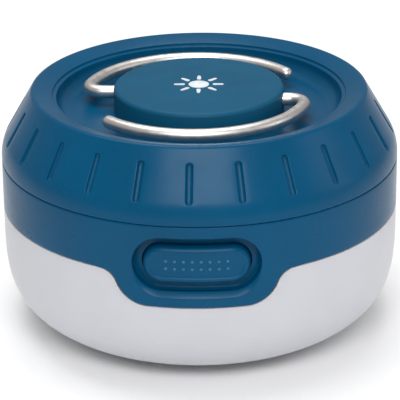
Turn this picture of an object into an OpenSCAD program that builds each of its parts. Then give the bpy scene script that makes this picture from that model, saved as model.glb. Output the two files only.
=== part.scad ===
// Compact round camp lantern. A frosted globe faces down, a battery housing with a
// push button sits on it, and a twist-off cap carries two folding wire hooks.
// Millimetres, +Z up, the button faces -Y, and the origin is under the globe's flat.

/* [Body] */
// Outside diameter of the housing, the cap's skirt and the globe
body_d = 76; // [76:0.5:80]
// Height of the housing's lower edge above the ground
globe_h = 24.5; // [24.5:0.5:28]
// Height of the housing's visible band, up to the seam under the cap
band_h = 9.5; // [9.5:0.25:10]
// Wall thickness of the globe
globe_t = 1.8; // [1.6:0.1:1.9]
// Exponents of the globe's rounded profile, down the height and across the radius
globe_exp = [4, 3.59]; // [3:0.1:5]

/* [Cap] */
// Height of the cap's outer crease above the seam
crease_h = 13.35; // [13.2:0.05:13.4]
// Slope of the cap's side from the vertical, in degrees
side_slope = 30; // [29:0.5:30]
// Radius of the rim's inner edge
rim_r = 28; // [27.8:0.1:28]
// Height of the rim's inner edge above the seam
rim_h = 12.2; // [12.1:0.1:12.4]
// Height of the recess floor above the seam
recess_h = 8.6; // [8.5:0.05:8.7]
// Number of grip grooves around the cap
groove_n = 24; // [12:1:36]
// Width of the round-ended grip grooves
groove_d = 1.3; // [1:0.1:1.6]
// Depth of the grip grooves
groove_depth = 0.7; // [0.4:0.05:0.8]
// Turn of the groove pattern from the button's centre line, in degrees
groove_turn = -2; // [-7:0.5:7]
// Lift of the cap for a whole turn of its thread
thread_lead = 12; // [11:0.5:13]

/* [Hub and hooks] */
// Diameter of the raised hub
hub_d = 32.5; // [31:0.5:32.5]
// Height of the hub's top above the seam
hub_h = 13.4; // [13.3:0.05:13.5]
// Diameter of the hook wire
wire_d = 2.4; // [2.2:0.1:2.4]
// Radius of each hook's arc, to the middle of the wire
hook_r = 21.3; // [21:0.1:21.6]
// Inside bend of each hook, to the middle of the wire
bend_r = 3; // [2.8:0.1:3.2]
// Distance of each hook's pivot from the middle of the hub
pivot_y = 2.2; // [2:0.1:2.4]
// Height of the hook pivots above the seam
pivot_h = 11.2; // [11.1:0.05:11.3]
// Angle of each hook's free end from its pivot line, in degrees
hook_end = 35; // [25:1:45]
// How far both hooks have slid to one side in their bearings
hook_slide = -0.6; // [-0.6:0.1:0.6]
// Outside diameter of the sun-shaped mark on the hub
mark_d = 9.6; // [8:0.1:12]

/* [Button] */
// Width and height of the pocket around the button
pocket = [25.4, 11.9]; // [11:0.1:26]
// Width and height of the button
button = [20.6, 7.4]; // [7:0.1:21]
// Height of the button's centre above the ground, measured down from the seam
button_drop = 7.4; // [7.3:0.1:7.5]
// Depth of the pocket below the housing's surface
pocket_depth = 2.6; // [2.2:0.1:2.6]
// Travel of the button
button_travel = 0.5; // [0.3:0.05:0.5]
// Raised dots on the button: columns, rows
dots = [8, 2]; // [1:1:8]
// How far the housing dips over the globe under the button
tab_drop = 6.3; // [6:0.1:6.5]

/* [Batteries] */
// Diameter of an AAA cell
cell_d = 10.5; // [10.3:0.1:10.5]
// Length of an AAA cell without its nub
cell_l = 43.5; // [43:0.1:43.5]
// Distance between cells
cell_pitch = 11; // [10.8:0.1:11]

/* [Hidden] */

$fn = 96;
eps = 0.01;
far = 60;
blue = [0.02, 0.27, 0.42];
frosted = [0.9, 0.92, 0.95];
steel = [0.78, 0.78, 0.76];
board_green = [0.1, 0.35, 0.2];
white_plastic = [0.93, 0.93, 0.92];
black_plastic = [0.12, 0.12, 0.13];
nickel = [0.8, 0.78, 0.7];

// Radii
body_r = body_d / 2;
wall_in = body_r - 2;
channel_in = body_r - 4.1;
neck_r = body_r - 4.2;
neck_in = body_r - 5.6;
skirt_in = body_r - 2.8;
fit_gap = 0.1;
run_gap = 0.05;

// Levels
seam_z = globe_h + band_h;
floor_z = seam_z + recess_h;
cap_under_z = seam_z + 7;
hub_z = seam_z + hub_h;
pivot_z = seam_z + pivot_h;
button_z = seam_z - button_drop;
neck_top = seam_z + 4.3;
lip_top = globe_h + 3;
inner_wall_z = globe_h - 1;
tray_z = seam_z - 5.8;
tray_t = 1.2;
cell_z = tray_z + tray_t + 0.2 + cell_d / 2;
flange_z = globe_h - 2.3;
deck_z = globe_h - 6;
sheet_t = 1.2;
board_z = globe_h - 0.5;
board_t = 1;

// Bayonet thread: three lugs on the neck, three under-cut ramps in the cap
lug_n = 3;
lug_steps = 4;
lug_step_a = 4;
lug_step_z = thread_lead * lug_step_a / 360;
lug_z = seam_z + 3.2;
lug_t = 1;
ramp_z = seam_z + 1.5;
ramp_t = 1;

// Switch, boards and screws
window_gap = 0.2;
flange_grow = 1.3;
flange_r = channel_in - 0.5;
button_back = -(body_r - 7.6);
switch_s = 6;
switch_t = 3.45;
switch_front = button_back + 1;
switch_back = switch_front + switch_t;
plunger_r = 1.6;
plunger_l = 2.35;
boss_r = body_r - 8.5;
boss_angles = [90, 225, 315];
post_r = 19;
post_angles = [0, 120, 240];
screw_d = 1.9;
pilot_d = 2;
head_d = 3.8;
head_t = 1.3;
contact_x = 24.9;
end_wall_x = 25.3;
plate_t = end_wall_x - contact_x;
nub_l = 1;
nub_d = 3.8;
nub_at = [1, -1, 1];

// ---- outlines ----

function unit(v) = v / norm(v);

// An arc of n steps about c from angle a0 to a1
function arc(c, r, a0, a1, n = 8) =
    [for (i = [0 : n]) c + r * [cos(a0 + (a1 - a0) * i / n), sin(a0 + (a1 - a0) * i / n)]];

// The points that round the corner b between a and c with radius r
function corner(a, b, c, r) =
    let (u = unit(a - b), v = unit(c - b), half = acos(u * v) / 2)
    let (mid = b + unit(u + v) * r / sin(half), from = b + u * r / tan(half) - mid)
    let (to = b + v * r / tan(half) - mid, a0 = atan2(from[1], from[0]))
    let (turn = atan2(from[0] * to[1] - from[1] * to[0], from * to))
    arc(mid, r, a0, a0 + turn);

// An outline of [x, y, radius] corners, with each radius rounded
function rounded(p) =
    let (n = len(p), xy = [for (q = p) [q[0], q[1]]])
    [for (i = [0 : n - 1])
        each (p[i][2] > 0
            ? corner(xy[(i + n - 1) % n], xy[i], xy[(i + 1) % n], p[i][2])
            : [xy[i]])];

// The globe's profile, from its rim at t0 down towards its middle
function globe_curve(r, depth, top, t0, n = 30) =
    [for (i = [0 : n])
        let (t = t0 + (1 - t0) * (1 - pow(1 - i / n, 2)))
        [r * pow(1 - pow(t, globe_exp[0]), 1 / globe_exp[1]), top - depth * t]];

// A stadium of width w and height h about the button's centre
module stadium(w, h) {
    translate([0, button_z]) {
        square([w - h, h], center = true);
        for (s = [-1, 1]) translate([s * (w - h) / 2, 0]) circle(d = h);
    }
}

// The tab that dips from the housing's lower edge, grown by g
module tab_outline(g = 0) {
    flat = 9;
    blend = 9;
    turn = 2 * atan(tab_drop / blend);
    r_out = 6;
    r_in = blend / sin(turn) - r_out;
    low = globe_h - tab_drop;
    right = concat(
        arc([flat, low + r_out], r_out + g, -90, -90 + turn),
        arc([flat + blend, globe_h - r_in], r_in - g, 90 + turn, 90),
        [[flat + blend, globe_h + 1.5]]);
    left = [for (i = [len(right) - 1 : -1 : 0]) [-right[i][0], right[i][1]]];
    polygon(concat(right, left));
}

// A flat outline in X and Z, pushed through the front of the body
module through_front(depth = far) {
    rotate([90, 0, 0]) linear_extrude(depth) children();
}

module ring(r_out, r_in, z, h) {
    translate([0, 0, z]) difference() {
        cylinder(r = r_out, h = h);
        translate([0, 0, -1]) cylinder(r = r_in, h = h + 2);
    }
}

// A block from corner a to corner b
module block(a, b) {
    translate(a) cube(b - a);
}

// A pan-head screw, with its head's underside at z = 0 and its shank down
module pan_screw(length, d = screw_d) {
    difference() {
        cylinder(d = head_d, h = head_t);
        translate([0, 0, head_t - 0.6]) rotate(45) translate([-0.25, -1.2, 0]) cube([0.5, 2.4, 1]);
        translate([0, 0, head_t - 0.6]) rotate(-45) translate([-0.25, -1.2, 0]) cube([0.5, 2.4, 1]);
    }
    translate([0, 0, -length]) cylinder(d = d, h = length + eps);
}

// Copies at a radius and a list of angles
module around(r, angles) {
    for (a = angles) rotate(a) translate([r, 0, 0]) children();
}

// A round tube of radius r through the points p; ref is never along the tube
module tube(p, r, ref, sides = 10) {
    n = len(p);
    t = [for (i = [0 : n - 1]) unit(p[min(i + 1, n - 1)] - p[max(i - 1, 0)])];
    rings = [for (i = [0 : n - 1])
        let (a = unit(cross(t[i], ref)), b = cross(t[i], a))
        for (k = [0 : sides - 1])
            p[i] + r * (cos(360 * k / sides) * a + sin(360 * k / sides) * b)];
    skin = [for (i = [0 : n - 2], k = [0 : sides - 1])
        let (m = (k + 1) % sides, lo = i * sides, hi = (i + 1) * sides)
        [lo + k, hi + k, hi + m, lo + m]];
    caps = [[for (k = [0 : sides - 1]) k], [for (k = [sides - 1 : -1 : 0]) (n - 1) * sides + k]];
    polyhedron(points = rings, faces = concat(skin, caps));
}

// ---- housing and globe ----

module neck_lugs() {
    for (a = [30 : 360 / lug_n : 359])
        rotate(a) translate([0, 0, lug_z]) rotate_extrude(angle = lug_steps * lug_step_a)
            translate([neck_r - 0.5, 0]) square([1.5, lug_t]);
}

module base_housing() color(blue) difference() {
    union() {
        rotate_extrude() polygon([
            [wall_in, globe_h], [body_r, globe_h], [body_r, seam_z], [neck_r, seam_z],
            [neck_r, neck_top], [neck_in, neck_top], [neck_in, inner_wall_z],
            [channel_in, inner_wall_z], [channel_in, seam_z - 2], [wall_in, seam_z - 2]]);
        neck_lugs();
        intersection() {
            ring(body_r, wall_in, 0, seam_z);
            through_front() tab_outline();
        }
        intersection() {
            ring(body_r - 0.05, channel_in - 0.2, 0, seam_z);
            through_front() stadium(pocket[0] + 2.6, pocket[1] + 2.6);
        }
        around(boss_r, boss_angles) {
            translate([0, 0, inner_wall_z]) cylinder(d = 5, h = tray_z - inner_wall_z - fit_gap);
            block([0, -1.5, inner_wall_z], [neck_in - boss_r + 0.5, 1.5, tray_z - fit_gap]);
        }
        for (s = [-1, 1]) block([s * 13.4 - 1, -29.9, inner_wall_z], [s * 13.4 + 1, -24.2, tray_z - 0.2]);
    }
    difference() {
        through_front() stadium(pocket[0], pocket[1]);
        cylinder(r = body_r - pocket_depth, h = far);
    }
    through_front() stadium(button[0] + 2 * window_gap, button[1] + 2 * window_gap);
    intersection() {
        cylinder(r = channel_in - 0.2, h = seam_z);
        block([-12.4, -far, button_z - 5.3], [12.4, -28, button_z + 5.3]);
    }
    around(boss_r, boss_angles) translate([0, 0, inner_wall_z - 1]) cylinder(d = pilot_d, h = 10);
    difference() {
        ring(wall_in + 0.35, wall_in - 1, globe_h + 1.5, 1);
        block([-20, -far, 0], [20, 0, far]);
    }
    for (s = [-1, 1])
        block([s * 12.85 - 0.55, switch_back, inner_wall_z - 1],
              [s * 12.85 + 0.55, switch_back + 1.1, tray_z]);
}

module globe() color(frosted) difference() {
    top = globe_h - 0.85;
    depth = top + 0.4;
    in_depth = top - globe_t + 0.2;
    step = 2.05;
    outer = [for (p = globe_curve(body_r, depth, top, 0)) if (p[1] > 0) p];
    inner = globe_curve(body_r - globe_t, in_depth, top, step / in_depth);
    foot_t = pow(top / depth, globe_exp[0]);
    foot_r = body_r * pow(1 - foot_t, 1 / globe_exp[1]);
    lip_r = wall_in - fit_gap;
    lip_in = channel_in + 0.2;
    rotate_extrude() polygon(concat(
        [[0, 0], [foot_r, 0]],
        [for (i = [len(outer) - 1 : -1 : 0]) outer[i]],
        [[body_r, globe_h - fit_gap], [lip_r, globe_h - fit_gap], [lip_r, globe_h + 1.6]],
        [[lip_r + 0.3, globe_h + 1.9], [lip_r + 0.3, globe_h + 2.1], [lip_r, globe_h + 2.4]],
        [[lip_r, lip_top], [lip_in, lip_top], [lip_in, top - 1]],
        inner));
    through_front() tab_outline(0.12);
    block([-14.2, -far, top - 2], [14.2, -20, far]);
}

module power_button() color(blue) {
    face_r = body_r - 0.7;
    intersection() {
        translate([0, button_back, 0]) through_front(12) stadium(button[0], button[1]);
        cylinder(r = face_r, h = far);
    }
    intersection() {
        translate([0, button_back, 0]) through_front(8)
            stadium(button[0] + 2 * flange_grow, button[1] + 2 * flange_grow);
        cylinder(r = flange_r, h = far);
    }
    for (i = [0 : dots[0] - 1], j = [0 : dots[1] - 1]) {
        x = (i - (dots[0] - 1) / 2) * 1.7;
        z = button_z + 0.05 + (j - (dots[1] - 1) / 2) * 1.5;
        translate([x, -sqrt(pow(face_r - 0.05, 2) - x * x), z]) sphere(d = 0.6, $fn = 20);
    }
}

// ---- cap, hub and hooks ----

// Radius of the cap's sloping side at height h above the seam
function side_r(h) = body_r - (h - 0.5 - 8 * tan(side_slope / 2)) * tan(side_slope);

module cap_ramps() {
    for (a = [30 : 360 / lug_n : 359], k = [0 : lug_steps - 1])
        rotate(a + k * lug_step_a) translate([0, 0, ramp_z + k * lug_step_z])
            rotate_extrude(angle = lug_step_a)
                translate([neck_r + 0.25, 0]) square([skirt_in - neck_r, ramp_t]);
}

// Slots with round ends, cut square to the cap's sloping side
module grip_grooves() {
    low = 4.55;
    high = 10.05;
    for (k = [0 : groove_n - 1])
        rotate(-90 + groove_turn + k * 360 / groove_n) translate([side_r(low), 0, seam_z + low])
            rotate([0, 90 - side_slope, 0]) translate([0, 0, -groove_depth]) linear_extrude(3) {
                length = (high - low) / cos(side_slope);
                translate([-length, -groove_d / 2]) square([length, groove_d]);
                circle(d = groove_d);
                translate([-length, 0]) circle(d = groove_d);
            }
}

module top_cap() color(blue) {
    difference() {
        rotate_extrude() polygon(rounded([
            [0, floor_z, 0],
            [0, cap_under_z, 0],
            [rim_r + 0.6, cap_under_z, 0],
            [rim_r + 1, seam_z + 11, 0],
            [side_r(11) - 1.8, seam_z + 11, 0],
            [side_r(7) - 1.6, cap_under_z, 0],
            [skirt_in, seam_z + 4.6, 0],
            [skirt_in, seam_z + 0.06, 0],
            [body_r, seam_z + 0.06, 0],
            [body_r, seam_z + 0.5 + 8 * tan(side_slope / 2), 8],
            [side_r(crease_h), seam_z + crease_h, 1.2],
            [rim_r, seam_z + rim_h, 0.3],
            [rim_r, seam_z + rim_h - 0.4, 0],
            [rim_r - 0.8, seam_z + rim_h - 0.45, 0.25],
            [rim_r - 1.1, floor_z, 2.8]]));
        grip_grooves();
        for (s = [-1, 1]) translate([0, s * 8, cap_under_z]) {
            translate([0, 0, -1]) cylinder(d = 3.2, h = 4);
            translate([0, 0, -eps]) cylinder(d1 = 5.8, d2 = 3.2, h = 1.3);
        }
    }
    cap_ramps();
}

module hook_hub() color(blue) difference() {
    block_z = floor_z + 0.8;
    union() {
        difference() {
            rotate_extrude() polygon([[0, floor_z], [hub_d / 2, floor_z], [hub_d / 2, hub_z - 0.4],
                                      [hub_d / 2 - 0.4, hub_z], [0, hub_z]]);
            translate([0, 0, floor_z - 1]) cylinder(r = hub_d / 2 - 1.8, h = hub_z - 1.4 - floor_z + 1);
        }
        for (s = [-1, 1]) rotate(s > 0 ? 0 : 180)
            block([8.8, -pivot_y - 2.4, block_z], [hub_d / 2 - 1.4, -pivot_y + 2.4, hub_z - 1.3]);
        for (s = [-1, 1]) translate([0, s * 8, floor_z]) cylinder(d = 6, h = hub_z - 1.3 - floor_z);
    }
    for (s = [-1, 1]) rotate(s > 0 ? 0 : 180) {
        translate([8, -pivot_y, pivot_z]) rotate([0, 90, 0]) cylinder(d = wire_d + 2 * run_gap, h = 12);
        block([11.6, -pivot_y - 2.1, floor_z], [12.4, -pivot_y + 2.1, hub_z - 1.3]);
    }
    for (s = [-1, 1]) translate([0, s * 8, floor_z - 1]) cylinder(d = 3, h = 4.6);
}

module hub_mark() color([0.85, 0.88, 0.9]) translate([0, 0, hub_z]) {
    cylinder(r = mark_d * 0.2, h = 0.1);
    for (k = [0 : 7]) rotate(k * 45) translate([mark_d * 0.3, -mark_d * 0.04, 0])
        cube([mark_d * 0.2, mark_d * 0.08, 0.1]);
}

module hub_screws() color(steel) {
    for (s = [-1, 1]) translate([0, s * 8, cap_under_z]) {
        cylinder(d1 = 5.5, d2 = 2.9, h = 1.25);
        cylinder(d = 2.9, h = 4.8);
    }
}

module hook_retainer() color(steel) difference() {
    union() {
        block([-13.5, -4.4, floor_z + 0.02], [13.5, 4.4, floor_z + 0.6]);
        for (s = [-1, 1]) rotate(s > 0 ? 0 : 180)
            block([11.7, -pivot_y - 1.9, floor_z + 0.3], [12.3, -pivot_y + 1.9, pivot_z + 0.7]);
    }
    for (s = [-1, 1]) rotate(s > 0 ? 0 : 180) {
        translate([11, -pivot_y, pivot_z]) rotate([0, 90, 0]) cylinder(d = 1.6, h = 2);
        block([11, -pivot_y - 0.8, pivot_z], [13, -pivot_y + 0.8, pivot_z + 2]);
    }
}

// The rear hook; the front one is the same part turned half round
module hook() {
    bend_y = pivot_y + bend_r;
    bend_x = -sqrt(pow(hook_r - bend_r, 2) - bend_y * bend_y);
    meet = atan2(bend_y, bend_x);
    difference() {
        translate([bend_x, pivot_y, 0]) rotate([0, 90, 0]) cylinder(d = wire_d, h = -bend_x - 10.2);
        translate([-13, pivot_y, 0]) rotate([0, 90, 0]) difference() {
            cylinder(d = wire_d + 1, h = 2);
            translate([0, 0, -1]) cylinder(d = 1.5, h = 4);
        }
    }
    // The bend and the round tip are a hair thinner and reach into their neighbours
    hair = 0.02;
    translate([bend_x, bend_y, 0]) rotate(meet - 2)
        rotate_extrude(angle = 274 - meet) translate([bend_r, 0]) circle(d = wire_d - hair, $fn = 32);
    rotate(hook_end) rotate_extrude(angle = meet - hook_end)
        translate([hook_r, 0]) circle(d = wire_d, $fn = 32);
    rotate(hook_end + 0.3) translate([hook_r, 0, 0]) sphere(d = wire_d - hair, $fn = 32);
}

module hook_front() color(steel) translate([hook_slide, 0, pivot_z]) rotate(180) hook();
module hook_rear() color(steel) translate([hook_slide, 0, pivot_z]) hook();

module cap_seal() color("black")
    rotate_extrude() translate([neck_r + 0.7, seam_z + 0.72]) circle(r = 0.62, $fn = 32);

module battery_pad() color([0.2, 0.2, 0.2])
    block([-22, -16, cap_under_z - 0.85], [22, 16, cap_under_z - 0.05]);

// ---- batteries and contacts ----

module battery_tray() color(black_plastic) difference() {
    top = tray_z + tray_t;
    side = cell_pitch + cell_d / 2 + 0.4;
    union() {
        translate([0, 0, tray_z]) cylinder(r = neck_in - 0.2, h = tray_t);
        difference() {
            block([-end_wall_x - 1.2, -side - 1.2, tray_z], [end_wall_x + 1.2, side + 1.2, cell_z + 3.6]);
            block([-end_wall_x, -side, top], [end_wall_x, side, far]);
            block([-20, -far, cell_z], [20, far, far]);
        }
        block([-18, -side - eps, tray_z], [18, side + eps, cell_z - 1.4]);
    }
    for (k = [-1 : 1]) translate([-far / 2, k * cell_pitch, cell_z]) rotate([0, 90, 0])
        intersection() {
            cylinder(d = cell_d + 0.2, h = far);
            translate([-far, -far, far / 2 - 19]) cube([2 * far, 2 * far, 38]);
        }
    block([-14.6, -far, 0], [14.6, -22.5, far]);
    around(boss_r, boss_angles) translate([0, 0, tray_z - 1]) cylinder(d = 2.4, h = 4);
    for (s = [-1, 1]) block([s * 25.1 - 0.4, s * cell_pitch - 1.5, tray_z - 1],
                            [s * 25.1 + 0.4, s * cell_pitch + 1.5, top + 1]);
}

module battery(k) color(k == 0 ? [0.75, 0.55, 0.2] : [0.75, 0.55, 0.2])
    translate([0, k * cell_pitch, cell_z]) rotate([0, 90 * nub_at[k + 1], 0])
        rotate_extrude() polygon([[0, -cell_l / 2], [cell_d / 2 - 0.4, -cell_l / 2],
            [cell_d / 2, 0.4 - cell_l / 2], [cell_d / 2, cell_l / 2 - 0.4],
            [cell_d / 2 - 0.4, cell_l / 2], [nub_d / 2, cell_l / 2],
            [nub_d / 2, cell_l / 2 + nub_l], [0, cell_l / 2 + nub_l]]);

module battery_front() battery(-1);
module battery_middle() battery(0);
module battery_back() battery(1);

// A cone-shaped coil from the end wall to the flat end of each cell
module contact_springs() color(nickel) {
    wire_r = 0.3;
    turns = 3;
    steps = 14;
    x0 = cell_l / 2 + wire_r + 0.02;
    x1 = contact_x - wire_r - 0.02;
    for (k = [-1 : 1]) {
        s = -nub_at[k + 1];
        path = [for (i = [0 : turns * steps])
            let (f = i / (turns * steps), a = 360 * i / steps, r = 1.8 + 1.6 * f)
            [s * (x0 + (x1 - x0) * f), k * cell_pitch + r * cos(a), cell_z + r * sin(a)]];
        tube(path, wire_r, [1, 0, 0], 8);
    }
}

// Strips on the end walls; a wide one joins two neighbouring cells
module contact_plates() color(nickel) {
    low = tray_z + tray_t + 1.6;
    high = cell_z + 3.4;
    half = 4.2;
    for (s = [-1, 1]) {
        x = [min(s * contact_x, s * end_wall_x), max(s * contact_x, s * end_wall_x)];
        block([x[0], s * cell_pitch - half, low], [x[1], s * cell_pitch + half, high]);
        block([x[0], s * cell_pitch - 1, tray_z - 1.6], [x[1], s * cell_pitch + 1, low + eps]);
        y = [min(0, -s * cell_pitch), max(0, -s * cell_pitch)];
        block([x[0], y[0] - half, low], [x[1], y[1] + half, high]);
    }
    for (k = [-1 : 1]) {
        s = nub_at[k + 1];
        x0 = cell_l / 2 + nub_l + 0.02;
        translate([s * x0, k * cell_pitch, cell_z]) rotate([0, s * 90, 0])
            cylinder(r1 = 1.5, r2 = 2.6, h = contact_x - x0 + eps);
    }
}

// ---- light and electronics ----

module reflector() color(white_plastic) difference() {
    union() {
        rotate_extrude() polygon([[6.2, deck_z], [23, deck_z], [27, flange_z],
            [channel_in - 0.1, flange_z], [channel_in - 0.1, flange_z + sheet_t],
            [26.4, flange_z + sheet_t], [22.4, deck_z + sheet_t], [6.2, deck_z + sheet_t]]);
        around(post_r, post_angles) translate([0, 0, deck_z + sheet_t - eps])
            cylinder(d = 4, h = board_z - deck_z - sheet_t);
    }
    block([-12.6, -far, 0], [12.6, -24.3, far]);
    around(post_r, post_angles) translate([0, 0, deck_z + 1.5]) cylinder(d = pilot_d, h = 10);
    around(boss_r, boss_angles) translate([0, 0, flange_z - 1]) cylinder(d = 2.4, h = 4);
}

module led_board() color(white_plastic)
    translate([0, 0, deck_z + sheet_t + 0.05]) cylinder(r = 11, h = 1.5);

module led_emitter() color([0.95, 0.9, 0.5]) translate([0, 0, deck_z + sheet_t + 0.05]) {
    block([-2.5, -2.5, -0.7], [2.5, 2.5, 0]);
    difference() {
        translate([0, 0, -0.7]) sphere(r = 2.2);
        translate([0, 0, 9.5]) cube(20, center = true);
    }
}

module heat_spreader() color([0.75, 0.76, 0.78])
    translate([0, 0, deck_z + sheet_t + 1.6]) cylinder(r = 15.5, h = 1.2);

module driver_board() color(board_green) difference() {
    translate([0, 0, board_z]) cylinder(r = 21.5, h = board_t);
    around(post_r, post_angles) translate([0, 0, board_z - 1]) cylinder(d = 2.4, h = 4);
}

module driver_parts() color(black_plastic) translate([0, 0, board_z + board_t]) {
    translate([8, 5, 0]) cylinder(r = 3.2, h = 2.4);
    block([-8.5, 2, 0], [-3.6, 5.9, 1.5]);
    block([-8, -7, 0], [-4.5, -4.4, 1.1]);
    for (k = [0 : 3]) block([-1 + 3 * k, -7, 0], [1 + 3 * k, -5.7, 1]);
    for (k = [0 : 2]) block([-3 + 2.4 * k, 9, 0], [-1.8 + 2.4 * k, 11, 0.6]);
}

module switch_board() color(board_green)
    block([-13.2, switch_back + 0.05, inner_wall_z + 0.1],
          [13.2, switch_back + 1.05, inner_wall_z + 6.9]);

module tact_switch() color(black_plastic) difference() {
    block([-switch_s / 2, switch_front, button_z - switch_s / 2],
          [switch_s / 2, switch_back, button_z + switch_s / 2]);
    translate([0, switch_front + 2.2, button_z]) rotate([90, 0, 0])
        cylinder(r = plunger_r + run_gap, h = 5);
}

module switch_plunger() color(steel)
    translate([0, button_back + 0.05 + plunger_l, button_z]) rotate([90, 0, 0])
        cylinder(r = plunger_r, h = plunger_l);

module lead(s) {
    wire = 0.5;
    y = s * cell_pitch;
    level = tray_z - 1;
    tube([[s * 24.2, y, level], [s * 22, y - s * 0.4, level], [s * 19.5, y - s * 1.2, level - 0.9],
          [s * 17.5, y - s * 2, board_z + board_t + wire + 0.05],
          [s * 15.5, y - s * 2.6, board_z + board_t + wire + 0.05]], wire, [0, 1, 0], 8);
}

module lead_red() color("red") lead(1);
module lead_black() color("black") lead(-1);

module switch_leads() color([0.9, 0.9, 0.85]) {
    z = board_z + board_t + 0.5;
    for (x = [-2, 2]) translate([x, switch_back + 1.1, z]) rotate([-90, 0, 0])
        cylinder(r = 0.4, h = 5, $fn = 24);
}

module board_screws() color(steel)
    around(post_r, post_angles) translate([0, 0, board_z + board_t]) pan_screw(4.4);

module reflector_screws() color(steel)
    around(boss_r, boss_angles) translate([0, 0, flange_z]) mirror([0, 0, 1]) pan_screw(3.2);

module tray_screws() color(steel)
    around(boss_r, boss_angles) translate([0, 0, tray_z + tray_t]) pan_screw(3.6);

base_housing();
top_cap();
hook_hub();
hub_mark();
hub_screws();
hook_retainer();
hook_front();
hook_rear();
power_button();
globe();
cap_seal();
battery_pad();
battery_tray();
battery_front();
battery_middle();
battery_back();
contact_springs();
contact_plates();
reflector();
led_board();
led_emitter();
heat_spreader();
driver_board();
driver_parts();
switch_board();
tact_switch();
switch_plunger();
lead_red();
lead_black();
switch_leads();
board_screws();
reflector_screws();
tray_screws();
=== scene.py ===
"""Compact round camp lantern with a twist-off cap and two folding wire hooks.

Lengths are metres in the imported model's frame: +Z up, the button faces -Y, and the
origin is under the globe's flat. mm() turns millimetres into metres.
"""
import math

import bmesh
import bpy
from mathutils import Matrix, Vector


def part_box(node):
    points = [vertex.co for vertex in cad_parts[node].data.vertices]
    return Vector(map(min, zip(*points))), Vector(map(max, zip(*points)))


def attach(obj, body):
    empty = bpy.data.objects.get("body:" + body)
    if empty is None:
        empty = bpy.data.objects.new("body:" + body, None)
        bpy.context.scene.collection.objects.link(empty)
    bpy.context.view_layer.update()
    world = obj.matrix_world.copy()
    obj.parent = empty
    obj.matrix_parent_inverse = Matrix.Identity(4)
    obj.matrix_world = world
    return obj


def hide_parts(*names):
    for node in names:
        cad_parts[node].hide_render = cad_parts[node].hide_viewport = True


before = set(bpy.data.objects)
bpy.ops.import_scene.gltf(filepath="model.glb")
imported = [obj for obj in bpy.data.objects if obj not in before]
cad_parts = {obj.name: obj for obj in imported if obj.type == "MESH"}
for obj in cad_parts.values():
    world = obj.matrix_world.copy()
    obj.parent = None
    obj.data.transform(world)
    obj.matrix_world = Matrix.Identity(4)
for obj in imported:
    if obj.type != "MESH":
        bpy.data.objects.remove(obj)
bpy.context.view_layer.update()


def mm(value):
    return value / 1000


# ---- sizes, from the frame ----

body_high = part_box("base_housing")[1]
cap_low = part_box("top_cap")[0]
hub_low, hub_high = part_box("hook_hub")
globe_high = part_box("globe")[1]

BODY_R = body_high.x
SEAM_GAP = mm(0.06)
SEAM_Z = round(cap_low.z - SEAM_GAP, 5)
HUB_R = hub_high.x
HUB_TOP = hub_high.z
HUB_FOOT = hub_low.z


# ---- materials ----

class Surface:
    """One procedural material: a Principled shader and the nodes that feed it."""

    def __init__(self, name, colour, roughness, metallic=0.0):
        self.material = bpy.data.materials.new(name)
        self.material.use_nodes = True
        self.material.diffuse_color = (*colour, 1)
        self.tree = self.material.node_tree
        self.shader = self.tree.nodes["Principled BSDF"]
        self.set("Base Color", (*colour, 1))
        self.set("Roughness", roughness)
        self.set("Metallic", metallic)
        self.colour = colour
        self.roughness = roughness
        self.place = self.node("ShaderNodeTexCoord").outputs["Object"]
        self.normal = None

    def set(self, socket, value):
        self.shader.inputs[socket].default_value = value
        return self

    def node(self, kind, **settings):
        made = self.tree.nodes.new(kind)
        for key, value in settings.items():
            setattr(made, key, value)
        return made

    def link(self, source, target):
        self.tree.links.new(source, target)

    def noise(self, size, detail=3.0, stretch=None):
        """A noise value whose grains are about size across, in metres."""
        place = self.place
        if stretch:
            mapping = self.node("ShaderNodeMapping")
            mapping.inputs["Scale"].default_value = stretch
            self.link(place, mapping.inputs["Vector"])
            place = mapping.outputs["Vector"]
        made = self.node("ShaderNodeTexNoise")
        made.inputs["Scale"].default_value = 1 / size
        made.inputs["Detail"].default_value = detail
        self.link(place, made.inputs["Vector"])
        return made.outputs["Fac"]

    def spread(self, value, low, high, start=0.3, stop=0.7):
        """Maps a value between start and stop onto low to high."""
        made = self.node("ShaderNodeMapRange")
        for key, number in (("From Min", start), ("From Max", stop), ("To Min", low), ("To Max", high)):
            made.inputs[key].default_value = number
        self.link(value, made.inputs["Value"])
        return made.outputs["Result"]

    def blend(self, factor, first, second):
        made = self.node("ShaderNodeMix", data_type="RGBA")
        self.link(factor, made.inputs[0])
        for index, colour in ((6, first), (7, second)):
            if isinstance(colour, tuple):
                made.inputs[index].default_value = (*colour, 1)
            else:
                self.link(colour, made.inputs[index])
        return made.outputs[2]

    def bump(self, value, strength, depth):
        made = self.node("ShaderNodeBump")
        made.inputs["Strength"].default_value = strength
        made.inputs["Distance"].default_value = depth
        self.link(value, made.inputs["Height"])
        if self.normal:
            self.link(self.normal, made.inputs["Normal"])
        self.normal = made.outputs["Normal"]
        self.link(self.normal, self.shader.inputs["Normal"])
        return self

    def paint(self, colour):
        self.link(colour, self.shader.inputs["Base Color"])
        return self

    def mottle(self, size, amount):
        """Slight light and dark patches in the colour."""
        dark = tuple(c * (1 - amount) for c in self.colour)
        light = tuple(min(1, c * (1 + amount)) for c in self.colour)
        factor = self.spread(self.noise(size), 0, 1)
        return self.paint(self.blend(factor, dark, light))

    def uneven_gloss(self, size, amount):
        value = self.noise(size, detail=5.0)
        self.link(self.spread(value, self.roughness - amount, self.roughness + amount),
                  self.shader.inputs["Roughness"])
        return self


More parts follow.
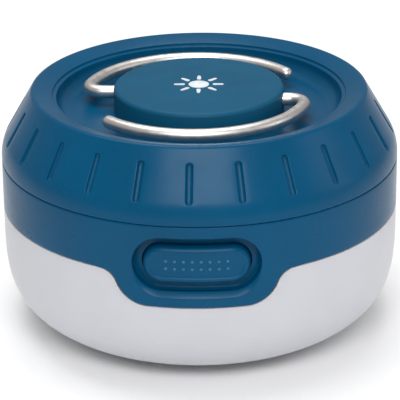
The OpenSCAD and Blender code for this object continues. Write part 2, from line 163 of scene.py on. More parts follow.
def moulded_blue():
    made = Surface("moulded_blue_plastic", (0.0, 0.066, 0.150), 0.29)
    made.set("IOR", 1.5).set("Specular IOR Level", 0.13)
    made.mottle(mm(14), 0.07).uneven_gloss(mm(6), 0.035)
    made.bump(made.noise(mm(0.28), 2.0), 0.16, mm(0.02))
    made.bump(made.noise(mm(9), 1.0), 0.25, mm(0.05))
    return made.material


def matte_blue():
    made = Surface("matte_blue_plastic", (0.002, 0.078, 0.155), 0.5)
    made.set("IOR", 1.5).set("Specular IOR Level", 0.15)
    made.mottle(mm(10), 0.06).uneven_gloss(mm(4), 0.04)
    made.bump(made.noise(mm(0.22), 3.0), 0.3, mm(0.03))
    return made.material


def painted_highlight_blue():
    """The raised dots, in a lighter blue than the shell: a painted highlight for the light the small
    domes catch.
    """
    made = Surface("painted_highlight_dot_blue", (0.018, 0.125, 0.225), 0.32)
    made.mottle(mm(0.8), 0.12).bump(made.noise(mm(0.12), 2.0), 0.12, mm(0.01))
    return made.material


def printed_mark():
    made = Surface("printed_pale_grey", (0.66, 0.71, 0.75), 0.42)
    made.mottle(mm(1.2), 0.12).bump(made.noise(mm(0.12)), 0.15, mm(0.01))
    return made.material


def satin_wire():
    made = Surface("satin_steel_wire", (0.71, 0.675, 0.65), 0.4, 1.0)
    made.mottle(mm(5), 0.05).uneven_gloss(mm(1.4), 0.06)
    made.bump(made.noise(mm(0.1), 2.0, stretch=(0.12, 0.12, 1.0)), 0.12, mm(0.008))
    return made.material


def zinc_screw():
    made = Surface("zinc_plated_steel", (0.62, 0.62, 0.60), 0.3, 1.0)
    made.mottle(mm(1.1), 0.1).uneven_gloss(mm(0.7), 0.08)
    made.bump(made.noise(mm(0.2)), 0.2, mm(0.01))
    return made.material


def frosted_plastic():
    made = Surface("frosted_globe_plastic", (0.56, 0.563, 0.60), 0.42)
    made.set("Subsurface Weight", 0.55).set("Subsurface Radius", (1.0, 1.0, 1.0))
    made.set("Subsurface Scale", mm(3)).set("IOR", 1.49)
    made.mottle(mm(9), 0.015).uneven_gloss(mm(5), 0.04)
    made.bump(made.noise(mm(0.16), 4.0), 0.22, mm(0.02))
    return made.material


def moulded_rubber():
    made = Surface("black_silicone_rubber", (0.02, 0.021, 0.024), 0.62)
    made.mottle(mm(2), 0.2).uneven_gloss(mm(1), 0.08)
    made.bump(made.noise(mm(0.15)), 0.3, mm(0.02))
    return made.material


def closed_cell_foam():
    made = Surface("grey_closed_cell_foam", (0.05, 0.052, 0.056), 0.9)
    cells = made.node("ShaderNodeTexVoronoi")
    cells.inputs["Scale"].default_value = 1 / mm(0.45)
    made.link(made.place, cells.inputs["Vector"])
    made.mottle(mm(0.6), 0.35).bump(cells.outputs["Distance"], 0.8, mm(0.12))
    return made.material


def black_moulding():
    made = Surface("black_moulded_plastic", (0.018, 0.018, 0.02), 0.45)
    made.mottle(mm(5), 0.2).uneven_gloss(mm(2), 0.07)
    made.bump(made.noise(mm(0.2)), 0.25, mm(0.015))
    return made.material


def battery_sleeve():
    """A shrink sleeve: dark, with a copper-coloured band near one end."""
    made = Surface("battery_shrink_sleeve", (0.022, 0.022, 0.026), 0.24)
    along = made.node("ShaderNodeSeparateXYZ")
    made.link(made.place, along.inputs[0])
    band = made.spread(along.outputs["X"], 0, 1, mm(9.95), mm(10.05))
    made.paint(made.blend(band, made.colour, (0.50, 0.23, 0.09)))
    made.uneven_gloss(mm(3), 0.05)
    made.bump(made.noise(mm(2.2), 2.0), 0.2, mm(0.04))
    return made.material


def contact_nickel():
    made = Surface("nickel_plated_contact", (0.66, 0.62, 0.54), 0.22, 1.0)
    made.mottle(mm(1.5), 0.08).uneven_gloss(mm(0.8), 0.07)
    made.bump(made.noise(mm(0.15)), 0.15, mm(0.01))
    return made.material


def white_moulding():
    made = Surface("white_moulded_plastic", (0.80, 0.80, 0.78), 0.34)
    made.mottle(mm(7), 0.02).uneven_gloss(mm(3), 0.05)
    made.bump(made.noise(mm(0.25)), 0.15, mm(0.015))
    return made.material


def board_white():
    made = Surface("white_solder_mask", (0.78, 0.79, 0.78), 0.28)
    made.mottle(mm(0.8), 0.03).uneven_gloss(mm(0.7), 0.05)
    made.bump(made.noise(mm(0.12)), 0.15, mm(0.01))
    return made.material


def phosphor():
    made = Surface("led_phosphor", (0.86, 0.62, 0.06), 0.38)
    made.set("Subsurface Weight", 0.3).set("Subsurface Scale", mm(0.4))
    made.mottle(mm(0.3), 0.12).bump(made.noise(mm(0.08)), 0.3, mm(0.01))
    return made.material


def brushed_aluminium():
    made = Surface("brushed_aluminium", (0.70, 0.71, 0.72), 0.34, 1.0)
    made.mottle(mm(4), 0.05).uneven_gloss(mm(1), 0.07)
    made.bump(made.noise(mm(0.3), 2.0, stretch=(0.06, 1, 1)), 0.3, mm(0.01))
    return made.material


def circuit_board():
    """Green solder mask, lighter over the copper."""
    made = Surface("green_solder_mask", (0.012, 0.115, 0.038), 0.3)
    tracks = made.node("ShaderNodeTexBrick", squash=1.0)
    for key, number in (("Scale", 1 / mm(4)), ("Mortar Size", 0.06),
                        ("Brick Width", 0.9), ("Row Height", 0.31)):
        tracks.inputs[key].default_value = number
    made.link(made.place, tracks.inputs["Vector"])
    made.paint(made.blend(tracks.outputs["Fac"], made.colour, (0.03, 0.21, 0.07)))
    made.uneven_gloss(mm(1), 0.05).bump(made.noise(mm(0.1)), 0.12, mm(0.01))
    return made.material


def component_epoxy():
    made = Surface("black_epoxy_component", (0.02, 0.02, 0.021), 0.5)
    made.mottle(mm(0.8), 0.25).bump(made.noise(mm(0.08)), 0.35, mm(0.01))
    return made.material


def plunger_acetal():
    made = Surface("natural_acetal", (0.70, 0.68, 0.61), 0.33)
    made.set("Subsurface Weight", 0.2).set("Subsurface Scale", mm(1))
    made.mottle(mm(1), 0.03).bump(made.noise(mm(0.15)), 0.15, mm(0.01))
    return made.material


def wire_insulation(name, colour):
    made = Surface(name, colour, 0.4)
    made.mottle(mm(1.5), 0.08).uneven_gloss(mm(1), 0.06)
    made.bump(made.noise(mm(0.2), 2.0), 0.15, mm(0.01))
    return made.material


FINISHES = {
    "blue_shell": moulded_blue(),
    "blue_matte": matte_blue(),
    # the dots' finish is a lighter blue: a painted highlight
    "blue_painted_highlight": painted_highlight_blue(),
    "mark_ink": printed_mark(),
    "screw_steel": zinc_screw(),
    "hook_steel": satin_wire(),
    "frosted_globe": frosted_plastic(),
    "seal_rubber": moulded_rubber(),
    "pad_foam": closed_cell_foam(),
    "black_plastic": black_moulding(),
    "battery_jacket": battery_sleeve(),
    "contact_metal": contact_nickel(),
    "white_plastic": white_moulding(),
    "led_board_white": board_white(),
    "led_phosphor": phosphor(),
    "spreader_aluminium": brushed_aluminium(),
    "board_green": circuit_board(),
    "component_black": component_epoxy(),
    "plunger_plastic": plunger_acetal(),
    "lead_red": wire_insulation("red_insulation", (0.50, 0.012, 0.010)),
    "lead_black": wire_insulation("black_insulation", (0.012, 0.012, 0.013)),
    "lead_white": wire_insulation("white_insulation", (0.75, 0.75, 0.73)),
}


NODE_FINISHES = {
    "blue_shell": ["base_housing", "top_cap", "power_button", "hook_retainer"],
    "blue_matte": ["hook_hub"],
    "mark_ink": ["hub_mark"],
    "hook_steel": ["hook_front", "hook_rear"],
    "screw_steel": ["hub_screws", "board_screws", "reflector_screws", "tray_screws"],
    "frosted_globe": ["globe"],
    "seal_rubber": ["cap_seal"],
    "pad_foam": ["battery_pad"],
    "black_plastic": ["battery_tray", "tact_switch"],
    "battery_jacket": ["battery_front", "battery_middle", "battery_back"],
    "contact_metal": ["contact_springs", "contact_plates"],
    "white_plastic": ["reflector"],
    "led_board_white": ["led_board"],
    "led_phosphor": ["led_emitter"],
    "spreader_aluminium": ["heat_spreader"],
    "board_green": ["driver_board", "switch_board"],
    "component_black": ["driver_parts"],
    "plunger_plastic": ["switch_plunger"],
    "lead_red": ["lead_red"],
    "lead_black": ["lead_black"],
    "lead_white": ["switch_leads"],
}


def finish_cad_nodes():
    for finish, names in NODE_FINISHES.items():
        for name in names:
            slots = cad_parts[name].data.materials
            if not slots:
                slots.append(None)
            for index in range(len(slots)):
                slots[index] = FINISHES[finish]


# ---- mesh tools, in millimetres ----

class Skin:
    """Collects loops of points, in millimetres, and the faces between them."""

    def __init__(self):
        self.points, self.faces = [], []

    def loop(self, points):
        start = len(self.points)
        self.points += [tuple(p) for p in points]
        return list(range(start, len(self.points)))

    def bridge(self, first, second, closed=True):
        for i in range(len(first) if closed else len(first) - 1):
            j = (i + 1) % len(first)
            self.faces.append((first[i], first[j], second[j], second[i]))

    def chain(self, loops, closed=True):
        for first, second in zip(loops, loops[1:]):
            self.bridge(first, second, closed)

    def rows(self, rows, closed=True):
        loops = [self.loop(row) for row in rows]
        self.chain(loops, closed)
        return loops

    def fill(self, loop):
        self.faces.append(tuple(loop))

    def piece(self, name, finish, body, replaces=(), sharp=35):
        mesh = bpy.data.meshes.new(name)
        mesh.from_pydata([tuple(mm(c) for c in p) for p in self.points], [], self.faces)
        shape = bmesh.new()
        shape.from_mesh(mesh)
        bmesh.ops.remove_doubles(shape, verts=shape.verts, dist=mm(0.002))
        bmesh.ops.recalc_face_normals(shape, faces=shape.faces)
        shape.to_mesh(mesh)
        shape.free()
        mesh.shade_smooth()
        mesh.set_sharp_from_angle(angle=math.radians(sharp))
        made = bpy.data.objects.new(name, mesh)
        bpy.context.scene.collection.objects.link(made)
        mesh.materials.append(FINISHES[finish])
        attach(made, body)
        if replaces:
            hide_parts(*replaces)
        return made


def turned(angle, r, z):
    """A point at a radius and height; angle 0 is the front and grows to the right."""
    return (r * math.sin(angle), -r * math.cos(angle), z)


def rounded(corners, steps=6):
    """The points of an outline of (x, y, radius) corners, each rounded."""
    out = []
    for i, (x, y, radius) in enumerate(corners):
        here = Vector((x, y))
        if radius == 0:
            out.append(here)
            continue
        a = (Vector(corners[i - 1][:2]) - here).normalized()
        b = (Vector(corners[(i + 1) % len(corners)][:2]) - here).normalized()
        half = math.acos(a.dot(b)) / 2
        middle = here + (a + b).normalized() * radius / math.sin(half)
        first = here + a * radius / math.tan(half) - middle
        last = here + b * radius / math.tan(half) - middle
        turn = math.atan2(first.x * last.y - first.y * last.x, first.dot(last))
        for k in range(steps + 1):
            out.append(middle + Matrix.Rotation(turn * k / steps, 2) @ first)
    return out


def lathe(skin, profile, columns=144):
    """Rows of points for an open profile of (radius, height), all round."""
    angles = [2 * math.pi * k / columns for k in range(columns)]
    return skin.rows([[turned(a, r, z) for a in angles] for r, z in profile])


def stadium(half_length, radius, sides=16, ends=16):
    """A stadium's points anticlockwise from its right side's top, with unit normals."""
    out = []
    for side in (1, -1):
        for k in range(ends):
            angle = math.radians(90 - 180 * k / ends) if side > 0 else math.radians(-90 - 180 * k / ends)
            normal = Vector((math.cos(angle), math.sin(angle)))
            out.append((Vector((side * half_length, 0)) + normal * radius, normal))
        for k in range(sides):
            x = side * half_length * (1 - 2 * k / sides)
            out.append((Vector((x, -side * radius)), Vector((0, -side))))
    return out


# ---- cap ----

SEAM = round(SEAM_Z * 1000, 3)
R = round(BODY_R * 1000, 3)
SLOPE = math.radians(30)
SKIRT_H, SIDE_BEND_R, SKIRT_IN = 0.5, 8, R - 2.8
RIM_R, RIM_H, CREASE_H, RECESS_H, UNDER_H = 28, 12.2, 13.35, 8.6, 7
GROOVES, GROOVE_W, GROOVE_DEPTH, GROOVE_TURN = 24, 1.3, 0.68, -2
GROOVE_LOW, GROOVE_HIGH = 4.55, 10.05
PATCH_LOW, PATCH_HIGH = 3.4, 11.4
# The bayonet thread: ramps in the cap, each in steps of RAMP_TURN degrees, and lugs on the neck
THREAD_STARTS = (120, 240, 360)
RAMP_LOW, RAMP_TURN, RAMP_RISE = 1.5, 4, 0.133


def slope_r(height):
    """The cone's radius at a height over the seam."""
    return R - (height - SKIRT_H - SIDE_BEND_R * math.tan(SLOPE / 2)) * math.tan(SLOPE)


def slope_point(height):
    """Radius and outward direction of the cap's side: a bend over the skirt, then a cone."""
    bend_end = SKIRT_H + SIDE_BEND_R * math.sin(SLOPE)
    if height >= bend_end:
        return slope_r(height), math.cos(SLOPE), math.sin(SLOPE)
    rise = math.asin(max(0, height - SKIRT_H) / SIDE_BEND_R)
    return R - SIDE_BEND_R * (1 - math.cos(rise)), math.cos(rise), math.sin(rise)


def on_slope(middle, x, height, depth):
    """A point on the cap's side, x along it from the angle middle, pressed in by depth."""
    r, out, up = slope_point(height)
    return turned(middle + x / r, r - depth * out, SEAM + height - depth * up)


def groove_patch(skin, middle):
    """One step of the grip pattern: the side with a round-bottomed slot pressed into it."""
    half_step = math.pi / GROOVES
    rise = math.cos(SLOPE)
    across, along = 6, 10
    ring = []
    low, high, half_w = GROOVE_LOW, GROOVE_HIGH, GROOVE_W / 2
    for end, centre, edge in ((1, high, PATCH_HIGH), (-1, low, PATCH_LOW)):
        for k in range(12):
            angle = math.radians(180 * k / 12)
            x, up = end * math.cos(angle), end * math.sin(angle)
            if k <= 3:
                border = (end, centre + (edge - centre) * k / 3)
            elif k <= 9:
                border = (end * (1 - 2 * (k - 3) / across), edge)
            else:
                border = (-end, centre + (edge - centre) * (12 - k) / 3)
            ring.append((x, centre, up, border))
        for k in range(along):
            height = centre + (low + high - 2 * centre) * k / along
            ring.append((-end, height, 0, (-end, height)))
    # Each row: how far from the border to the slot, growth of the slot's outline, depth
    rows = [(0, 0, 0), (0.35, 0, 0), (0.7, 0, 0), (1, 0.16, 0), (1, 0.07, 0.012), (1, 0, 0.06)]
    for k in range(1, 7):
        inward = half_w * (1 - math.cos(math.radians(15 * k)))
        rows.append((1, -inward * 0.92, 0.1 + (GROOVE_DEPTH - 0.1) * math.sin(math.radians(15 * k))))
    loops = []
    for share, growth, depth in rows:
        points = []
        for x, centre, up, (side, edge) in ring:
            slot_x = x * (half_w + growth)
            slot_h = centre + up * (half_w + growth) * rise
            border_x = side * half_step * slope_point(edge)[0]
            points.append(on_slope(middle, border_x + (slot_x - border_x) * share,
                                   edge + (slot_h - edge) * share, depth))
        loops.append(skin.loop(points))
    skin.chain(loops)
    skin.fill(loops[-1])


def make_cap():
    skin = Skin()
    turn = math.radians(GROOVE_TURN)
    step = 2 * math.pi / GROOVES
    for k in range(GROOVES):
        groove_patch(skin, turn + k * step)
    angles = [turn + step / 2 + 2 * math.pi * k / 144 for k in range(144)]

    def around(profile):
        skin.rows([[turned(a, r, SEAM + h) for a in angles] for r, h in profile])

    lower = rounded([(SKIRT_IN, 3, 0), (SKIRT_IN, 0.06, 0.3), (R, 0.06, 0.35), (R, 0.9, 0)])[:-1]
    bend = [SKIRT_H + (PATCH_LOW - SKIRT_H) * k / 8 for k in range(9)]
    around([tuple(p) for p in lower] + [(slope_point(h)[0], h) for h in bend])
    top = rounded([(slope_r(PATCH_HIGH), PATCH_HIGH, 0), (slope_r(CREASE_H), CREASE_H, 0.9),
                   (RIM_R, RIM_H, 0.15), (RIM_R, RIM_H - 0.4, 0.08), (RIM_R - 0.8, RIM_H - 0.45, 0.25),
                   (RIM_R - 1.1, RECESS_H, 2.7), (0.4, RECESS_H, 0)], steps=8)
    around([tuple(p) for p in top])
    around([(SKIRT_IN, 3), (SKIRT_IN, 4.6), (slope_r(7) - 1.6, UNDER_H), (slope_r(11) - 1.8, 11),
            (RIM_R + 1, 11), (RIM_R + 0.6, UNDER_H), (0.4, UNDER_H)])
    for start in THREAD_STARTS:
        for part in range(4):
            ramp(skin, math.radians(start + RAMP_TURN * part), RAMP_LOW + RAMP_RISE * part)
    skin.piece("cap_shell", "blue_shell", "cap", ["top_cap"])


def ramp(skin, start, height):
    """One step of the thread's ramps inside the skirt."""
    inner, outer, top = R - 3.95, R - 2.75, height + 1
    ring = [(inner, height), (outer, height), (outer, top), (inner, top)]
    steps = [start + math.radians(RAMP_TURN * k / 2) for k in range(3)]
    loops = [skin.loop([turned(a, r, SEAM + h) for r, h in ring]) for a in steps]
    skin.chain(loops)
    skin.fill(loops[0])
    skin.fill(loops[-1])


# ---- housing ----

BAND_LOW = round(globe_high.z * 1000, 3) - 3
BUTTON_Z = SEAM - 7.4
PATCH_X = 20
EDGE = 0.28
WALL = R - 2
CHANNEL_R = R - 4.1
# The tab: its depth, half its straight bottom, the run of each side's S curve, its corner's radius
TAB_DROP, TAB_FLAT, TAB_RUN, TAB_CORNER = 6.3, 9, 9, 6
TAB_LOW = BAND_LOW - TAB_DROP


def tab_edge(x, inset):
    """The height and the outward normal of the band's lower edge at x, moved in by inset."""
    turn = 2 * math.atan(TAB_DROP / TAB_RUN)
    outer = TAB_CORNER - inset
    inner = TAB_RUN / math.sin(turn) - TAB_CORNER
    side = 1 if x >= 0 else -1
    x = abs(x)
    if x <= TAB_FLAT:
        return TAB_LOW + inset, Vector((0, -1))
    if x <= TAB_FLAT + outer * math.sin(turn):
        drop = math.sqrt(outer ** 2 - (x - TAB_FLAT) ** 2)
        return TAB_LOW + TAB_CORNER - drop, Vector((side * (x - TAB_FLAT), -drop)).normalized()
    end = TAB_FLAT + TAB_RUN
    if x < end:
        rise = math.sqrt(max(0, (inner + inset) ** 2 - (end - x) ** 2))
        return BAND_LOW - inner + rise, Vector((side * (end - x), -rise)).normalized()
    return BAND_LOW + inset, Vector((0, -1))


def to_border(start, heading):
    """Where a ray from the button's middle line leaves the front panel."""
    def inside(p):
        return abs(p.x) < PATCH_X and p.y < SEAM - EDGE and p.y > tab_edge(p.x, EDGE)[0]

    low, high = 0.0, 0.0
    while inside(start + heading * high):
        low = high
        high += 0.2
    for _ in range(30):
        middle = (low + high) / 2
        if inside(start + heading * middle):
            low = middle
        else:
            high = middle
    return start + heading * low


def straight_on(p, r):
    """A point of the front view, pushed straight back to radius r."""
    return (p.x, -math.sqrt(r * r - p.x * p.x), p.y)


def front_on(p, r):
    """A point of the front view, on the same ray from the axis at radius r."""
    return turned(math.asin(p.x / R), r, p.y)


# Half the straight length and the end radius of the pocket and of the window for the button
POCKET, POCKET_Z = (6.4, 5.3), BUTTON_Z - 0.15
WINDOW, WINDOW_Z = (6.3, 3.65), BUTTON_Z - 0.45


def make_housing():
    skin = Skin()
    middle, window_middle = Vector((0, POCKET_Z)), Vector((0, WINDOW_Z))
    sides, ends = 24, 32
    pocket = stadium(*POCKET, sides, ends)
    border = []
    for (p, normal) in pocket:
        start = middle + p - normal * POCKET[1]
        border.append(to_border(start, normal))
    for x in (-PATCH_X, PATCH_X):
        for z in (SEAM - EDGE, BAND_LOW + EDGE):
            corner = Vector((x, z))
            nearest = min(range(len(border)), key=lambda i: (border[i] - corner).length)
            border[nearest] = corner
    loops = []
    # The mouth's chamfer is wide below the button and narrow beside and above it
    flare = [0.2 + 1.1 * max(0, -normal.y) ** 1.5 for _, normal in pocket]
    grown = [middle + p + normal * f for (p, normal), f in zip(pocket, flare)]
    for share in (0, 0.25, 0.5, 0.75):
        loops.append(skin.loop([front_on(b.lerp(g, share), R) for b, g in zip(border, grown)]))
    # The chamfered mouth: share of the flare that is left, drop as a share of the flare
    mouth = [(1, 0), (0.9, 0.01), (0.78, 0.08), (0.22, 0.56), (0.1, 0.7), (0.02, 0.9), (0, 1.1)]
    for share, drop in mouth:
        loops.append(skin.loop([straight_on(middle + p + n * f * share, R - f * drop)
                                for (p, n), f in zip(pocket, flare)]))
    # The pocket's wall and floor: outline growth, radius
    for growth, r in ((0, R - 1.2), (0, R - 2.2), (-0.06, R - 2.42), (-0.2, R - 2.56), (-0.4, R - 2.6)):
        loops.append(skin.loop([straight_on(middle + p + n * growth, r) for p, n in pocket]))
    window = stadium(*WINDOW, sides, ends)
    for growth, r in ((0.15, R - 2.6), (0.05, R - 2.63), (0, R - 2.75), (0, R - 4)):
        loops.append(skin.loop([straight_on(window_middle + p + n * growth, r) for p, n in window]))
    skin.chain(loops)
    band_edges(skin, border)
    inner_walls(skin)
    skin.piece("housing_shell", "blue_shell", "housing", ["base_housing"])


def edge_rows(inset_points, normals):
    """Rounds an edge from the outer face round to the wall's inner face."""
    rows = []
    for k in range(6):
        angle = math.radians(90 * k / 5)
        rows.append([front_on(p + n * EDGE * math.sin(angle), R - EDGE * (1 - math.cos(angle)))
                     for p, n in zip(inset_points, normals)])
    rows.append([front_on(p + n * EDGE, WALL) for p, n in zip(inset_points, normals)])
    return rows


def round_edge(r, z):
    """A section from the wall's inner face round an edge that faces down, to the outer face."""
    turns = [math.radians(18 * k) for k in range(6)]
    return [(WALL, z)] + [(r - EDGE * (1 - math.sin(a)), z + EDGE * (1 - math.cos(a))) for a in turns]


def band_edges(skin, border):
    """The edges of the front panel, then the plain band round the back."""
    lower = sorted((p for p in border if p.y < BUTTON_Z + 4 and abs(p.x) < PATCH_X + 0.01
                    and abs(p.y - tab_edge(p.x, EDGE)[0]) < 0.02), key=lambda p: p.x)
    skin.rows(edge_rows(lower, [tab_edge(p.x, EDGE)[1] for p in lower]), closed=False)
    upper = sorted((p for p in border if abs(p.y - (SEAM - EDGE)) < 0.01), key=lambda p: p.x)
    skin.rows(edge_rows(upper, [Vector((0, 1))] * len(upper)), closed=False)
    edge = math.asin(PATCH_X / R)
    angles = [edge + (2 * math.pi - 2 * edge) * k / 118 for k in range(119)]
    lower = round_edge(R, BAND_LOW)
    side = [(R, BAND_LOW + EDGE + (SEAM - BAND_LOW - 2 * EDGE) * k / 6) for k in range(1, 6)]
    upper = [(r, SEAM + BAND_LOW - z) for r, z in reversed(lower)]
    ledge = [(CHANNEL_R, SEAM - 2), (WALL, SEAM - 2)]
    skin.rows([[turned(a, r, z) for a in angles] for r, z in ledge + lower + side + upper], closed=False)


def inner_walls(skin):
    """The ledge under the cap, the threaded neck and the inner wall."""
    neck, neck_in, neck_top = R - 4.2, R - 5.6, SEAM + 4.3
    ledge = [(WALL, SEAM), (neck + 0.3, SEAM), (neck, SEAM + 0.3)]
    rim = [(neck, neck_top - 0.3), (neck - 0.3, neck_top),
           (neck_in + 0.3, neck_top), (neck_in, neck_top - 0.3)]
    inside = [(neck_in, BAND_LOW - 1), (CHANNEL_R, BAND_LOW - 1), (CHANNEL_R, SEAM - 2)]
    lathe(skin, ledge + rim + inside)
    for start in THREAD_STARTS:
        lug(skin, math.radians(start), neck)


def lug(skin, start, neck):
    """One of the thread's lugs on the neck, with its outer edges broken."""
    ring = [(neck - 0.2, 3.2), (neck + 0.85, 3.2), (neck + 1, 3.35),
            (neck + 1, 4.05), (neck + 0.85, 4.2), (neck - 0.2, 4.2)]
    steps = [start + math.radians(2 * k) for k in range(9)]
    loops = [skin.loop([turned(a, r, SEAM + h) for r, h in ring]) for a in steps]
    skin.chain(loops)
    skin.fill(loops[0])
    skin.fill(loops[-1])


# ---- button ----

FACE_R, FACE_DISH, FACE_INSET = R - 0.7, 0.3, 1.35
FLANGE_R, FLANGE_GROWTH, BUTTON_BACK = R - 4.6, 1.3, -(R - 7.6)
DOTS, DOT_PITCH_X, DOT_PITCH_Z = 8, 1.6, 1.44


def make_button():
    skin = Skin()
    middle = Vector((0, WINDOW_Z))
    ends = 24
    outline = stadium(WINDOW[0], WINDOW[1] - 0.2, 24, ends)
    # From the dished face over the crest to the flange: outline growth, radius
    rows = [(-FACE_INSET, FACE_R - FACE_DISH), (-1.2, FACE_R - FACE_DISH + 0.02), (-0.92, FACE_R - 0.07),
            (-0.8, FACE_R - 0.01), (-0.68, FACE_R), (-0.55, FACE_R - 0.03), (-0.16, FACE_R - 0.34),
            (-0.05, FACE_R - 0.5), (0, FACE_R - 0.75), (0, FLANGE_R), (FLANGE_GROWTH, FLANGE_R)]
    loops = []
    for growth, r in rows:
        loops.append(skin.loop([straight_on(middle + p + n * growth, r) for p, n in outline]))
    flange = [middle + p + n * FLANGE_GROWTH for p, n in outline]
    loops.append(skin.loop([(p.x, BUTTON_BACK, p.y) for p in flange]))
    skin.chain(loops)
    skin.fill(loops[-1])
    # The crowned face: columns that join the outline's top to its bottom
    face = [middle + p - n * FACE_INSET for p, n in outline]
    count = len(face)
    columns = []
    for k in range(count // 2 + 1):
        top, bottom = face[(ends // 2 - k) % count], face[(ends // 2 + k) % count]
        columns.append([straight_on(top.lerp(bottom, share), FACE_R - FACE_DISH)
                        for share in (0, 0.25, 0.5, 0.75, 1)])
    skin.rows(columns, closed=False)
    skin.piece("button_cap", "blue_shell", "button", ["power_button"], sharp=40)
    dots = Skin()
    for i in range(DOTS):
        for row in (-0.5, 0.5):
            place = Vector(((i - (DOTS - 1) / 2) * DOT_PITCH_X, 0.05 + row * DOT_PITCH_Z))
            raised_dot(dots, middle + place, FACE_R - FACE_DISH)
    # the dots get the lighter blue finish, a painted highlight
    dots.piece("button_dots", "blue_painted_highlight", "button")


def raised_dot(skin, place, face_r):
    """A low dome, about 0.6 mm across, on the button's face."""
    out = Vector((place.x, -math.sqrt(face_r ** 2 - place.x ** 2), 0)) / face_r
    side = Vector((-out.y, out.x, 0))
    up = Vector((0, 0, 1))
    centre = out * (face_r - 0.03) + Vector((0, 0, place.y))
    loops = []
    for r, h in ((0.33, 0), (0.29, 0.1), (0.21, 0.19), (0.1, 0.245)):
        loops.append(skin.loop([centre + out * h + side * r * math.cos(a) + up * r * math.sin(a)
                                for a in (math.pi * k / 6 for k in range(12))]))
    skin.chain(loops)
    skin.fill(loops[-1])


# ---- hub and hooks ----

def make_hub():
    skin = Skin()
    r, top, foot = HUB_R * 1000, HUB_TOP * 1000, HUB_FOOT * 1000
    profile = rounded([(0.3, top, 0), (r, top, 0.85), (r, foot, 0), (0.3, foot, 0)], steps=10)
    lathe(skin, [tuple(p) for p in profile], 128)
    skin.piece("hub_disc", "blue_matte", "cap", ["hook_hub"], sharp=50)


PIVOT_Y, PIVOT_Z = 2.2, SEAM + 11.2
HOOK_R, BEND_R, WIRE_R, HOOK_SLIDE = 21.3, 3.0, 1.25, -0.6
LEG_X = (-11.5, -13, -14.6)


def wire_path(end):
    """The middle line of a hook: its leg in the hub, a bend, the arc, then a round tip."""
    bend_y = PIVOT_Y + BEND_R
    bend_x = -math.sqrt((HOOK_R - BEND_R) ** 2 - bend_y ** 2)
    meet = math.degrees(math.atan2(bend_y, bend_x))
    path = [Vector((x, PIVOT_Y, 0)) for x in LEG_X]
    for k in range(19):
        angle = math.radians(270 + (meet - 270) * k / 18)
        path.append(Vector((bend_x + BEND_R * math.cos(angle), bend_y + BEND_R * math.sin(angle), 0)))
    for k in range(1, 73):
        angle = math.radians(meet + (end - meet) * k / 72)
        path.append(Vector((HOOK_R * math.cos(angle), HOOK_R * math.sin(angle), 0)))
    return path


def make_hook(name, node, body, side, end):
    """The front wire (side -1) or the rear one (side 1), turned half round about the hub."""
    skin = Skin()
    path = wire_path(end)
    loops = []
    around = 20
    count = len(path)
    up = Vector((0, 0, 1))

    def ring(place, along, radius):
        flat = up.cross(along)
        points = []
        for k in range(around):
            a = 2 * math.pi * k / around
            p = place + (flat * math.cos(a) + up * math.sin(a)) * radius
            points.append((side * p.x + HOOK_SLIDE, side * p.y, p.z + PIVOT_Z))
        return skin.loop(points)

    for i, place in enumerate(path):
        along = (path[min(i + 1, count - 1)] - path[max(i - 1, 0)]).normalized()
        loops.append(ring(place, along, WIRE_R))
    tip = (path[-1] - path[-2]).normalized()
    for k in range(1, 6):
        angle = math.radians(17 * k)
        loops.append(ring(path[-1] + tip * WIRE_R * math.sin(angle), tip, WIRE_R * math.cos(angle)))
    skin.chain(loops)
    skin.fill(loops[0])
    skin.fill(loops[-1])
    skin.piece(name, "hook_steel", body, [node], sharp=60)


DISC_R = 1.95
# A ray's outer and inner end: distance from the middle, radius, start of its arc in degrees
RAY_ENDS = ((4.45, 0.3, -90), (3.05, 0.42, 90))


def make_mark():
    """A sun: a disc and eight tapered rays with round ends, printed on the hub."""
    skin = Skin()
    foot, top = HUB_TOP * 1000 - 0.02, HUB_TOP * 1000 + 0.1

    def plate(outline):
        loops = skin.rows([[(x, y, foot) for x, y in outline], [(x, y, top - 0.03) for x, y in outline]])
        lid = skin.loop([(x * 0.995, y * 0.995, top) for x, y in outline])
        skin.bridge(loops[-1], lid)
        skin.fill(lid)

    turns = [math.pi * k / 24 for k in range(48)]
    plate([(DISC_R * math.cos(a), DISC_R * math.sin(a)) for a in turns])
    for ray in range(8):
        spin = Matrix.Rotation(math.pi * ray / 4, 2)
        outline = []
        for centre, r, start in RAY_ENDS:
            for k in range(9):
                a = math.radians(start + 180 * k / 8)
                outline.append(tuple(spin @ Vector((centre + r * math.cos(a), r * math.sin(a)))))
        plate(outline)
    skin.piece("sun_mark", "mark_ink", "cap", ["hub_mark"])


# ---- stage ----

def soft_box(name, place, aim, size, power):
    light = bpy.data.lights.new(name, "AREA")
    light.shape = "RECTANGLE"
    light.size, light.size_y = size
    light.energy = power
    lamp = bpy.data.objects.new(name, light)
    bpy.context.scene.collection.objects.link(lamp)
    lamp.location = place
    lamp.rotation_mode = "QUATERNION"
    lamp.rotation_quaternion = (Vector(aim) - Vector(place)).to_track_quat("-Z", "Y")


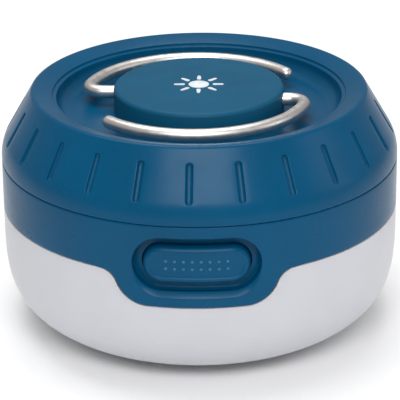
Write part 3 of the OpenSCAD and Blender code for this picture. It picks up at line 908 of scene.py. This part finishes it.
def plain_floor():
    half = 3.0
    mesh = bpy.data.meshes.new("studio_floor")
    corners = [(-half, -half, 0), (half, -half, 0), (half, half, 0), (-half, half, 0)]
    mesh.from_pydata(corners, [], [(0, 1, 2, 3)])
    floor = bpy.data.objects.new("studio_floor", mesh)
    bpy.context.scene.collection.objects.link(floor)
    made = Surface("pale_floor", (0.94, 0.94, 0.94), 0.8)
    mesh.materials.append(made.material)


def studio():
    world = bpy.data.worlds.new("studio_world")
    bpy.context.scene.world = world
    world.use_nodes = True
    sky = world.node_tree.nodes["Background"]
    sky.inputs["Color"].default_value = (1, 1, 1, 1)
    sky.inputs["Strength"].default_value = 0.38
    aim = (0, 0, mm(30))
    soft_box("front_soft_box", (mm(15), mm(-475), mm(430)), aim, (mm(430), mm(190)), 2.2)
    soft_box("top_soft_box", (mm(-60), mm(150), mm(650)), aim, (mm(520), mm(420)), 2.9)
    soft_box("right_soft_box", (mm(520), mm(-60), mm(230)), aim, (mm(200), mm(300)), 0.3)
    bpy.context.scene.view_settings.view_transform = "Standard"


def aim_camera():
    """The photograph's viewing angle: from the front, about 21 degrees above the horizon."""
    elevation, azimuth = math.radians(21.49), math.radians(1.1)
    distance = mm(450)
    aim_below, roll = math.radians(1.23), math.radians(0.59)
    data = bpy.data.cameras.new("view_camera")
    data.sensor_width = 36
    data.lens = 210
    camera = bpy.data.objects.new("view_camera", data)
    bpy.context.scene.collection.objects.link(camera)
    back = Vector((math.sin(azimuth) * math.cos(elevation), -math.cos(azimuth) * math.cos(elevation),
                   math.sin(elevation)))
    camera.location = Vector((0, 0, SEAM_Z)) + back * distance
    camera.rotation_mode = "QUATERNION"
    look = (-back).to_track_quat("-Z", "Y").to_matrix()
    tilt = Vector((0, math.sin(-aim_below), -math.cos(aim_below)))
    upright = (look @ tilt).to_track_quat("-Z", "Y").to_matrix()
    spin = Vector((math.sin(roll), math.cos(roll), 0))
    side = upright @ Vector((spin.y, -spin.x, 0))
    up = upright @ spin
    ahead = side.cross(up)
    camera.rotation_quaternion = Matrix((side, up, ahead)).transposed().to_quaternion()
    bpy.context.scene.camera = camera


aim_camera()
finish_cad_nodes()
make_cap()
make_housing()
make_button()
make_hub()
make_hook("front_wire", "hook_front", "front_hook", -1, 42)
make_hook("rear_wire", "hook_rear", "rear_hook", 1, 35)
make_mark()
plain_floor()
studio()
